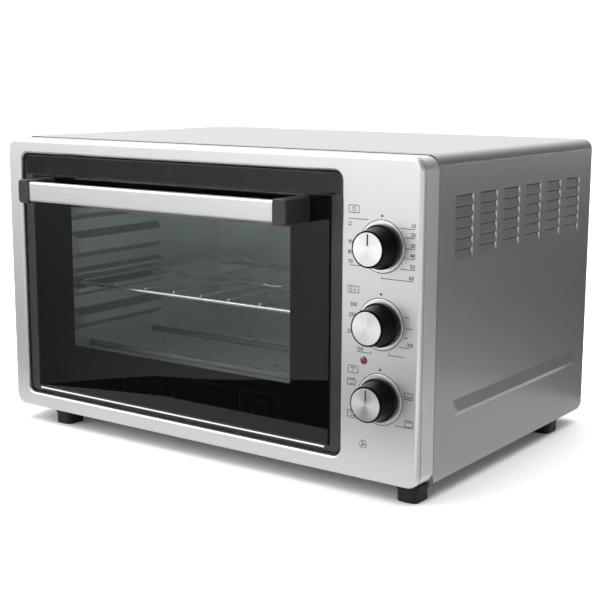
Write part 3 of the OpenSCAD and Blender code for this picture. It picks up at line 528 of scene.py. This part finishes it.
def thermostat_print(bm):
    dial = Dial(bm, "thermostat")
    dial.outline()
    for x0, z, x1 in ((24.0, 9.1, 29.3), (25.8, -0.6, 33.1), (24.1, -9.2, 28.4), (19.3, -18.0, 30.5)):
        dial.line((x0, z), (x1, z))
    dial.line((8.8, -24.6), (8.9, -26.8), (24.5, -26.8))
    dial.number("100", 29.6, -15.4)
    dial.number("150", -22.0, -25.0)
    dial.line((-24.8, -27.6), (-9.6, -27.6), (-9.6, -25.4))
    dial.number("200", -31.4, -9.8)
    dial.number("250", -30.2, 5.4)
    dial.number("300", -28.9, 15.1)
    # A thermometer in a box.
    dial.box(-29.3, 28.7, 12.0, 6.8)
    dial.ring(-32.0, 27.6, 1.2, FINE_LINE)
    dial.line((-32.0, 28.7), (-32.0, 31.0), width=0.7 * MM)
    for i in range(3):
        dial.line((-29.8, 27.2 + 1.4 * i), (-25.6 - 0.8 * i, 27.2 + 1.4 * i), width=FINE_LINE)


def selector_print(bm):
    dial = Dial(bm, "selector")
    dial.outline()
    dial.box(-28.9, 24.0, 11.4, 7.0)
    dial.zigzag(-28.9, 25.3, 5.4, 1.4, 3)
    dial.line((-29.6, 23.8), (-29.6, 21.8), width=0.6 * MM)
    dial.box(-30.5, 12.2, 9.2, 6.6, 0.8)
    dial.zigzag(-30.5, 13.9, 5.6, 1.2, 3)
    dial.line((-33.2, 10.5), (-27.8, 10.5), width=0.6 * MM)
    dial.box(-29.2, -18.0, 11.0, 7.2, 0.8)
    dial.zigzag(-29.2, -16.4, 6.0, 1.2, 3)
    dial.zigzag(-29.2, -19.6, 6.0, 1.2, 3)
    dial.box(29.8, 7.2, 8.8, 6.4, 0.8)
    dial.line((26.9, 5.6), (32.7, 5.6), width=0.6 * MM)
    dial.line((26.9, 7.0), (32.7, 7.0), width=FINE_LINE)
    dial.box(30.4, -17.8, 8.8, 6.2, 0.8)
    dial.zigzag(30.4, -16.4, 5.2, 1.2, 3)
    dial.line((16.4, -21.5), (34.7, -21.5))
    # A fan in a ring, under the selector.
    x, z = -17.0, -44.4
    blade, bulge, lean = 2.9, 1.7, 0.6
    dial.ring(x, z, 3.9, 0.5 * MM)
    for k in range(3):
        a = math.radians(90 + 120 * k)
        tip = (x + blade * math.cos(a), z + blade * math.sin(a))
        side = (x + bulge * math.cos(a + lean), z + bulge * math.sin(a + lean))
        dial.line((x, z), side, tip, width=0.7 * MM)
    dial.dot(x, z, 0.8)


def fascia_printing():
    bm = bmesh.new()
    timer_print(bm)
    thermostat_print(bm)
    selector_print(bm)
    piece("fascia_printing", bm, "root", "black_plastic", INK, smooth=False)


# ---------------------------------------------------------------- door glass printing
WINDOW_LEFT, WINDOW_RIGHT = 56.0 * MM, 46.6 * MM
WINDOW_BOTTOM, WINDOW_TOP = 52.2 * MM, 27.8 * MM
INK_T = 0.08 * MM
MARK_X, MARK_Z, MARK_PITCH = 103 * MM, 46 * MM, 67.7 * MM
MARK_W, MARK_H = 50 * MM, 34 * MM
MARK_CORNER, MARK_RING, MARK_BAR, MARK_BAR_Z = 3 * MM, 9 * MM, 14 * MM, 9 * MM
BORDER_MARGIN = 0.4 * MM
WINDOW_CORNER, WINDOW_STEPS = 2.5 * MM, 5


def glass_printing():
    """The black border on the back of the outer glass, round a clear window, and its faint marks."""
    y = GLASS_BACK - 2 * INK_T
    margin = Vector((BORDER_MARGIN, 0, BORDER_MARGIN))
    low = Vector((GLASS_LOW.x, 0, GLASS_LOW.z)) + margin
    high = Vector((GLASS_HIGH.x, 0, GLASS_HIGH.z)) - margin
    w_low = Vector((GLASS_LOW.x + WINDOW_LEFT, 0, GLASS_LOW.z + WINDOW_BOTTOM))
    w_high = Vector((GLASS_HIGH.x - WINDOW_RIGHT, 0, GLASS_HIGH.z - WINDOW_TOP))
    centre = (w_low + w_high) / 2
    inner = rounded_outline(w_high.x - w_low.x, w_high.z - w_low.z, WINDOW_CORNER, WINDOW_STEPS)
    bm = bmesh.new()
    outer = []
    for x, z in ((high.x, low.z), (high.x, high.z), (low.x, high.z), (low.x, low.z)):
        outer += [(x - centre.x, z - centre.z)] * (WINDOW_STEPS + 1)
    band(bm, outer, inner, (centre.x, y, centre.z), INK_T)
    bmesh.ops.remove_doubles(bm, verts=bm.verts, dist=1e-6)
    piece("door_glass_border", bm, "door", "door_glass", GLASS_INK, smooth=False)

    bm = bmesh.new()
    for i in range(4):
        at = (GLASS_LOW.x + MARK_X + i * MARK_PITCH, y - INK_T, FACE_Z + MARK_Z)
        band(bm, rounded_outline(MARK_W, MARK_H, MARK_CORNER, 4),
             rounded_outline(MARK_W - 2 * LINE, MARK_H - 2 * LINE, MARK_CORNER - LINE, 4), at, INK_T)
        if i % 2:
            band(bm, circle_outline(MARK_RING), circle_outline(MARK_RING - LINE), at, INK_T)
        else:
            for z in (-MARK_BAR_Z, MARK_BAR_Z):
                stroke(bm, [(-MARK_BAR, z), (MARK_BAR, z)], LINE, at, INK_T)
    piece("door_glass_marks", bm, "door", "door_glass", FAINT_INK, smooth=False)


def door_trim():
    """A pale strip along the glass's foot, a painted highlight for the glint of the glass's bottom edge, and
    the gloss band over the glass.
    """
    thick = 0.1 * MM
    bm = bmesh.new()
    x0, x1 = GLASS_LOW.x + 5 * MM, GLASS_HIGH.x - 4 * MM
    # Painted highlight: a pale strip on the front of the glass, where its bottom edge catches the light.
    outline = rounded_outline(x1 - x0, 1.5 * MM, 0.6 * MM, 3)
    plate(bm, outline, ((x0 + x1) / 2, GLASS_FRONT - thick, FACE_Z + 23.6 * MM), 2 * thick)
    piece("door_glass_ground_edge", bm, "door", "door_glass", GLASS_EDGE_GLINT, smooth=False)

    low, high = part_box("door_frame")
    bottom, top = GLASS_HIGH.z + 0.6 * MM, high.z - 1.4 * MM
    bm = bmesh.new()
    outline = rounded_outline(high.x - low.x - 4 * MM, top - bottom, 1.5 * MM, 4)
    plate(bm, outline, ((low.x + high.x) / 2, low.y - thick, (top + bottom) / 2), 2 * thick)
    piece("door_gloss_band", bm, "door", "door_paint", BLACK_GLOSS, smooth=False)


# ---------------------------------------------------------------- knobs
FLUTES = 36
FLUTE_D = 0.35 * MM
FLUTE_STEPS = 6
BORE_R, BORE_D = 3.0 * MM, 8 * MM


def knob_skirts():
    """Fluted skirts that stand for the plain turned ones."""
    for knob in KNOBS:
        node = "knob_" + knob
        low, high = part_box(node)
        centre = middle(node)
        base_r = (high.x - low.x) / 2
        tip_r = base_r * 0.8
        cap_r = (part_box("cap_" + knob)[1].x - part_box("cap_" + knob)[0].x) / 2
        length = high.y - low.y
        # Radius, distance from the back, and how deep the flutes are there.
        profile = ((BORE_R, 0.0, 0), (base_r - 0.4 * MM, 0.0, 0), (base_r, 0.4 * MM, 0),
                   (base_r, 3.2 * MM, 0), (base_r - 0.5 * MM, 3.9 * MM, 0), (base_r - 1.5 * MM, 4.4 * MM, 0),
                   (base_r - 1.9 * MM, 5.4 * MM, 1), (tip_r + 0.7 * MM, length - 3.2 * MM, 1),
                   (tip_r + 0.5 * MM, length - 1.6 * MM, 0), (tip_r + 0.3 * MM, length - 0.6 * MM, 0),
                   (tip_r - 0.2 * MM, length, 0), (cap_r + 0.05 * MM, length, 0),
                   (cap_r + 0.05 * MM, length - 1.0 * MM, 0), (0.0, length - 1.0 * MM, 0))
        bm = bmesh.new()
        steps = FLUTES * FLUTE_STEPS
        rings = []
        for r, along, flute in profile:
            ring = []
            for i in range(steps if r else 1):
                a = 2 * math.pi * i / steps
                cut = flute * FLUTE_D * (0.5 - 0.5 * math.cos(FLUTES * a)) ** 2
                ring.append(bm.verts.new((centre.x + (r - cut) * math.cos(a), high.y - along,
                                          centre.z + (r - cut) * math.sin(a))))
            rings.append(ring)
        for a, b in zip(rings, rings[1:]):
            for i in range(steps):
                j = (i + 1) % steps
                if len(b) == 1:
                    bm.faces.new((a[i], a[j], b[0]))
                else:
                    bm.faces.new((a[i], a[j], b[j], b[i]))
        # A blind bore for the spindle closes the back.
        bore_end = bm.verts.new((centre.x, high.y - BORE_D, centre.z))
        inner = [bm.verts.new((v.co.x, high.y - BORE_D, v.co.z)) for v in rings[0]]
        for i in range(steps):
            j = (i + 1) % steps
            bm.faces.new((rings[0][j], rings[0][i], inner[i], inner[j]))
            bm.faces.new((inner[j], inner[i], bore_end))
        obj = piece("skirt_" + knob, bm, knob + "_knob", "knob_black")
        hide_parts(node)


def pointers():
    """Dark inserts in the pointer grooves of the timer and the selector."""
    for knob in ("timer", "selector"):
        low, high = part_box("cap_" + knob)
        centre = (low + high) / 2
        radius = (high.x - low.x) / 2
        bm = bmesh.new()
        outline = rounded_outline(1.4 * MM, radius - 4.0 * MM, 0.3 * MM, 3)
        plate(bm, outline, (centre.x, low.y + 0.05 * MM, centre.z + radius / 2 + 1.0 * MM), 0.4 * MM)
        piece("pointer_" + knob, bm, knob + "_knob", "black_plastic", INK, smooth=False)


# ---------------------------------------------------------------- behind the louvres
def louvre_shade_trays():
    """A shallow near-black tray on the inside of each side of the cover, behind its louvres: painted shade
    for the dark inside of the cover that shows through them.
    """
    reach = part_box("front_frame")[1].x - 1.1 * MM
    deep, wall = 6 * MM, 0.8 * MM
    y0, y1 = FACE_Y + 52 * MM, FACE_Y + 338 * MM
    z0, z1 = FACE_Z + 194 * MM, FACE_Z + 264 * MM
    for name, side in (("left", -1), ("right", 1)):
        bm = bmesh.new()
        rings = []
        for inset, x in ((0, reach), (0, reach - deep), (wall, reach), (wall, reach - deep + wall)):
            rings.append([bm.verts.new((side * x, y, z)) for y, z in
                          ((y0 + inset, z0 + inset), (y1 - inset, z0 + inset),
                           (y1 - inset, z1 - inset), (y0 + inset, z1 - inset))])
        rim, back, inner_rim, inner_back = rings
        bm.faces.new(back)
        bm.faces.new(inner_back)
        for i in range(4):
            j = (i + 1) % 4
            bm.faces.new((rim[i], rim[j], back[j], back[i]))
            bm.faces.new((inner_rim[i], inner_rim[j], inner_back[j], inner_back[i]))
            bm.faces.new((rim[i], rim[j], inner_rim[j], inner_rim[i]))
        piece("louvre_shade_tray_" + name, bm, "root", "black_plastic", LOUVRE_SHADE, smooth=False)


# ---------------------------------------------------------------- stage
def white_floor():
    s = Shader("floor_paper", (0.90, 0.90, 0.90), 0.0, 0.85)
    s.shade(s.noise(3, 2.0), 0.004)
    material = s.done()
    bm = bmesh.new()
    bmesh.ops.create_circle(bm, cap_ends=True, segments=96, radius=40)
    mesh = bpy.data.meshes.new("floor")
    bm.to_mesh(mesh)
    bm.free()
    floor = bpy.data.objects.new("floor", mesh)
    mesh.materials.append(material)
    bpy.context.scene.collection.objects.link(floor)


WORLD_LEFT, WORLD_RIGHT = 1.45, 0.25
WORLD_BACK, WORLD_UP, WORLD_FAR_LEFT = 0.70, 1.4, 0.45
WORLD_SEEN = 1.05
KEY_POWER = 14
OVERHEAD = 3.2
CARD_Z = 0.4 * MM
EVEN = (1.0, 2.0, 1.0)
FRONT_Y, BACK_Y = -0.279, 0.285

# Name, corners, height, the slants and the glows at them, reach.
CARDS = (
    ("grey_card_front",
     ((-6, FRONT_Y), (-0.344, FRONT_Y), (-0.2, -0.36), (0.5, -0.45), (6, -1.5), (6, -9), (-6, -9)),
     CARD_Z, (-1.15, -0.40), (0.26, 0.70), (0.7, 2.7, 1.6)),
    ("black_card_front",
     ((-0.344, FRONT_Y), (-0.268, -0.303), (-0.184, -0.325), (0.26, -0.325), (0.26, -1.0), (2.6, -4.6),
      (-0.072, -0.507), (-0.194, -0.422), (-0.264, -0.393), (-0.306, -0.340)),
     CARD_Z * 2, (-1, 1), (0.03, 0.03), EVEN),
    ("white_card_front",
     ((-0.7, FRONT_Y), (-0.344, FRONT_Y), (-0.18, -0.33), (0.29, -0.33), (0.29, -0.16), (-0.7, -0.16)),
     CARD_Z, (-1, 1), (0.82, 0.82), EVEN),
    ("white_card_right", ((0.30, -0.32), (6, -0.32), (6, BACK_Y), (0.26, BACK_Y)),
     CARD_Z, (-1, 1), (0.57, 0.57), EVEN),
    ("grey_card_left", ((-0.30, -0.15), (-0.30, 0.30), (-0.2, 6), (-6, 6), (-6, -0.15)),
     CARD_Z, (-1, 1), (0.42, 0.42), EVEN),
    ("grey_card_back", ((-0.2, BACK_Y), (6, BACK_Y), (6, 9), (-0.2, 9)),
     CARD_Z, (0.50, 1.3), (0.16, 0.385), (1.0, 3.7, 1.35)),
)


def softbox(name, location, target, size, power):
    light = bpy.data.lights.new(name, "AREA")
    light.shape = "RECTANGLE"
    light.size, light.size_y = size
    light.energy = power
    obj = bpy.data.objects.new(name, light)
    obj.location = location
    direction = Vector(target) - Vector(location)
    obj.rotation_mode = "QUATERNION"
    obj.rotation_quaternion = direction.to_track_quat("-Z", "Y")
    bpy.context.scene.collection.objects.link(obj)
    return obj


def card(name, corners, z, slants, glows, reach):
    """A card on the floor that only mirrors see, as a studio uses to grade a reflection.

    Its glow changes with the slant, x over the distance in y. Reach says between which
    distances it grows too, and by how much.
    """
    material = bpy.data.materials.new(name)
    material.use_nodes = True
    tree = material.node_tree
    tree.nodes.clear()
    new = tree.nodes.new
    output = new("ShaderNodeOutputMaterial")
    glow = new("ShaderNodeEmission")
    split = new("ShaderNodeSeparateXYZ")
    tree.links.new(new("ShaderNodeTexCoord").outputs["Object"], split.inputs[0])
    away = math_node(tree, "ABSOLUTE", split.outputs["Y"])
    slant = math_node(tree, "DIVIDE", split.outputs["X"], away)
    near, far, gain = reach
    strength = math_node(tree, "MULTIPLY", map_range(tree, slant, *slants, *glows),
                         map_range(tree, away, near, far, 1.0, gain))
    tree.links.new(strength, glow.inputs["Strength"])
    tree.links.new(glow.outputs[0], output.inputs["Surface"])
    bm = bmesh.new()
    bm.faces.new([bm.verts.new((x, y, z)) for x, y in corners])
    mesh = bpy.data.meshes.new(name)
    bm.to_mesh(mesh)
    bm.free()
    mesh.materials.append(material)
    obj = bpy.data.objects.new(name, mesh)
    bpy.context.scene.collection.objects.link(obj)
    obj.visible_camera = False
    obj.visible_diffuse = False
    obj.visible_shadow = False
    obj.visible_transmission = False


def studio():
    """Soft light from above and the front left, a darker side on the right."""
    world = bpy.data.worlds.new("studio")
    world.use_nodes = True
    bpy.context.scene.world = world
    tree = world.node_tree
    background = tree.nodes["Background"]
    coords = tree.nodes.new("ShaderNodeTexCoord")
    split = tree.nodes.new("ShaderNodeSeparateXYZ")
    tree.links.new(coords.outputs["Generated"], split.inputs[0])
    across, along, up = (split.outputs[axis] for axis in "XYZ")
    glow = map_range(tree, across, -0.5, 0.5, WORLD_LEFT, WORLD_RIGHT, smooth=True)
    for factor in (map_range(tree, along, -0.1, 0.5, 1.0, WORLD_BACK, smooth=True),
                   map_range(tree, up, 0.0, 0.5, 1.0, WORLD_UP),
                   map_range(tree, across, -1.0, -0.75, WORLD_FAR_LEFT, 1.0)):
        glow = math_node(tree, "MULTIPLY", glow, factor)
    path = tree.nodes.new("ShaderNodeLightPath")
    seen = tree.nodes.new("ShaderNodeMix")
    tree.links.new(path.outputs["Is Camera Ray"], seen.inputs[0])
    tree.links.new(glow, seen.inputs[2])
    seen.inputs[3].default_value = WORLD_SEEN
    tree.links.new(seen.outputs[0], background.inputs["Strength"])
    background.inputs["Color"].default_value = (1, 1, 1, 1)
    softbox("key", (-1.8, -2.0, 2.2), (0, 0, 0.15), (2.0, 2.0), KEY_POWER)
    overhead = bpy.data.lights.new("overhead", "SUN")
    overhead.energy = OVERHEAD
    overhead.angle = math.radians(70)
    obj = bpy.data.objects.new("overhead", overhead)
    obj.rotation_euler = (math.radians(-8), 0, 0)
    obj.visible_glossy = False
    bpy.context.scene.collection.objects.link(obj)
    for details in CARDS:
        card(*details)
    scene = bpy.context.scene
    scene.view_settings.view_transform = "Standard"
    scene.cycles.transparent_max_bounces = 24


CAMERA_PLACE = (0.7978, -1.0923, 0.38163)
CAMERA_AZIMUTH, CAMERA_ELEVATION, CAMERA_ROLL = 35.694, 10.233, 0.222
CAMERA_LENS = 75.31


def camera():
    """Seen from the front right, a little above."""
    azimuth, elevation, roll = (math.radians(d) for d in (CAMERA_AZIMUTH, CAMERA_ELEVATION, CAMERA_ROLL))
    forward = Vector((-math.sin(azimuth) * math.cos(elevation), math.cos(azimuth) * math.cos(elevation),
                      -math.sin(elevation)))
    right = forward.cross(Vector((0, 0, 1))).normalized()
    up = right.cross(forward)
    right, up = (math.cos(roll) * right + math.sin(roll) * up, math.cos(roll) * up - math.sin(roll) * right)
    data = bpy.data.cameras.new("camera")
    data.sensor_width = 36
    data.lens = CAMERA_LENS
    obj = bpy.data.objects.new("camera", data)
    obj.matrix_world = Matrix.Translation(CAMERA_PLACE) @ Matrix(
        (right, up, -forward)).transposed().to_4x4()
    bpy.context.scene.collection.objects.link(obj)
    bpy.context.scene.camera = obj


camera()
studio()
white_floor()
dress_cad()
fascia_printing()
glass_printing()
door_trim()
knob_skirts()
pointers()
louvre_shade_trays()
